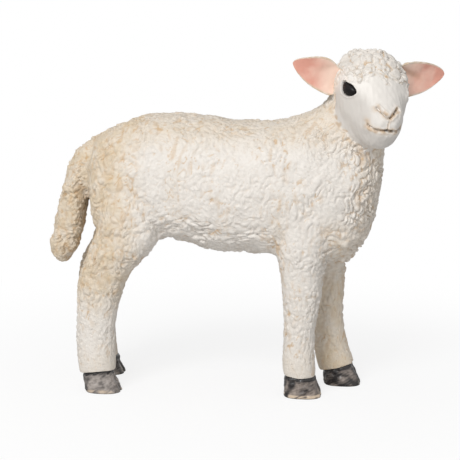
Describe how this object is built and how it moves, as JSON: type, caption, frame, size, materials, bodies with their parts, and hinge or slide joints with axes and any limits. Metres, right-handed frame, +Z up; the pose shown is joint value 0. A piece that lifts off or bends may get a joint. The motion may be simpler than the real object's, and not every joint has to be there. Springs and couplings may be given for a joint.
{
  "type": "toy lamb figure",
  "caption": "Standing toy lamb with curly moulded fleece, head turned to its right, hanging tail and dark cloven hooves.",
  "frame": {"origin": "middle of the figure's footprint box, on the surface it stands on", "axes": "+X from tail to chest, +Y to the lamb's left, +Z up"},
  "size_m": [0.0466, 0.0146, 0.0403],
  "materials": {
    "fleece": "matte painted moulded vinyl, ivory with a tan wash in the hollows",
    "face": "matte to satin painted moulded vinyl, off-white",
    "ear": "matte painted moulded vinyl, pink inside, cream at the rim and back",
    "eye": "gloss black",
    "hoof": "matte dark brown with a dry-brushed taupe highlight"
  },
  "bodies": {
    "root": {"torso_right_half": "fleece", "torso_left_half": "fleece", "head": "face", "tail": "fleece", "right_ear": "ear", "left_ear": "ear", "right_eye": "eye", "left_eye": "eye", "front_right_leg": "fleece", "front_left_leg": "fleece", "rear_right_leg": "fleece", "rear_left_leg": "fleece", "front_right_hoof": "hoof", "front_left_hoof": "hoof", "rear_right_hoof": "hoof", "rear_left_hoof": "hoof"}
  },
  "joints": []
}
